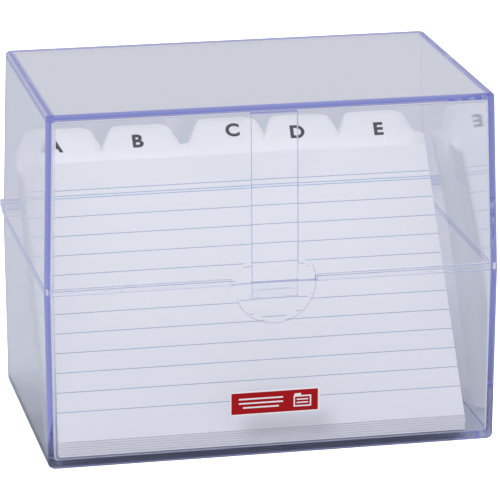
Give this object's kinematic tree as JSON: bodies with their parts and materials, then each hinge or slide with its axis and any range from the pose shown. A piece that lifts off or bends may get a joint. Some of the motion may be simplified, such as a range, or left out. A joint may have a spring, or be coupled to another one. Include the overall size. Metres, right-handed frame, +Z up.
{
  "type": "card index box",
  "caption": "Hinged clear plastic card index box, lid with a latch tongue, holding ruled cards and alphabet tab dividers that lean back and tip forward.",
  "frame": {"origin": "middle of the tray's flat underside", "axes": "+Z up, front of the box and of the cards towards -Y, +X to the right seen from the front"},
  "size_m": [0.163, 0.113, 0.128],
  "materials": {
    "clear_plastic": "clear, glossy, faint violet-blue tint",
    "ruled_card": "smooth white card, printed with thin blue rules",
    "divider_card": "smooth white card, slightly stiffer, black letters on the tabs",
    "label_red": "printed label, satin"
  },
  "bodies": {
    "box": {"tray": "clear_plastic", "label": "label_red"},
    "lid": {"lid": "clear_plastic"},
    "latch": {"latch_tongue": "clear_plastic"},
    "cards": {"front_card_1": "ruled_card", "front_card_2": "ruled_card", "front_card_3": "ruled_card", "front_card_4": "ruled_card", "front_card_5": "ruled_card", "front_card_6": "ruled_card", "card_stack": "ruled_card"},
    "dividers_a_e": {"divider_a": "divider_card", "divider_b": "divider_card", "divider_c": "divider_card", "divider_d": "divider_card", "divider_e": "divider_card"},
    "dividers_f_j": {"divider_f": "divider_card", "divider_g": "divider_card", "divider_h": "divider_card", "divider_i": "divider_card", "divider_j": "divider_card"},
    "dividers_k_o": {"divider_k": "divider_card", "divider_l": "divider_card", "divider_m": "divider_card", "divider_n": "divider_card", "divider_o": "divider_card"},
    "dividers_p_t": {"divider_p": "divider_card", "divider_q": "divider_card", "divider_r": "divider_card", "divider_s": "divider_card", "divider_t": "divider_card"},
    "dividers_u_z": {"divider_u": "divider_card", "divider_v": "divider_card", "divider_w": "divider_card", "divider_xy": "divider_card", "divider_z": "divider_card"}
  },
  "joints": [
    {"name": "lid_hinge", "type": "hinge", "parent": "box", "child": "lid", "pos_m": [0, 0.0555, 0.067], "axis": [-1, 0, 0], "range_deg": [0, 110]},
    {"name": "latch_flex", "type": "hinge", "parent": "lid", "child": "latch", "pos_m": [0, -0.05015, 0.1247], "axis": [-1, 0, 0], "range_deg": [0, 4], "stiffness_Nm_per_rad": 0.6},
    {"name": "cards_tip", "type": "hinge", "parent": "box", "child": "cards", "pos_m": [0, -0.0486, 0.00285], "axis": [1, 0, 0], "range_deg": [0, 27]},
    {"name": "dividers_a_e_tip", "type": "hinge", "parent": "box", "child": "dividers_a_e", "pos_m": [0, -0.02882, 0.00285], "axis": [1, 0, 0], "range_deg": [0, 22.73]},
    {"name": "dividers_f_j_tip", "type": "hinge", "parent": "box", "child": "dividers_f_j", "pos_m": [0, -0.02723, 0.00285], "axis": [1, 0, 0], "range_deg": [0, 18.14]},
    {"name": "dividers_k_o_tip", "type": "hinge", "parent": "box", "child": "dividers_k_o", "pos_m": [0, -0.02563, 0.00285], "axis": [1, 0, 0], "range_deg": [0, 13.55]},
    {"name": "dividers_p_t_tip", "type": "hinge", "parent": "box", "child": "dividers_p_t", "pos_m": [0, -0.02403, 0.00285], "axis": [1, 0, 0], "range_deg": [0, 8.96]},
    {"name": "dividers_u_z_tip", "type": "hinge", "parent": "box", "child": "dividers_u_z", "pos_m": [0, -0.02244, 0.00285], "axis": [1, 0, 0], "range_deg": [0, 4.37]}
  ],
  "couplings": [
    {"joint": "dividers_a_e_tip", "follows": "cards_tip", "ratio": 0.84},
    {"joint": "dividers_f_j_tip", "follows": "cards_tip", "ratio": 0.67},
    {"joint": "dividers_k_o_tip", "follows": "cards_tip", "ratio": 0.5},
    {"joint": "dividers_p_t_tip", "follows": "cards_tip", "ratio": 0.33},
    {"joint": "dividers_u_z_tip", "follows": "cards_tip", "ratio": 0.16}
  ]
}
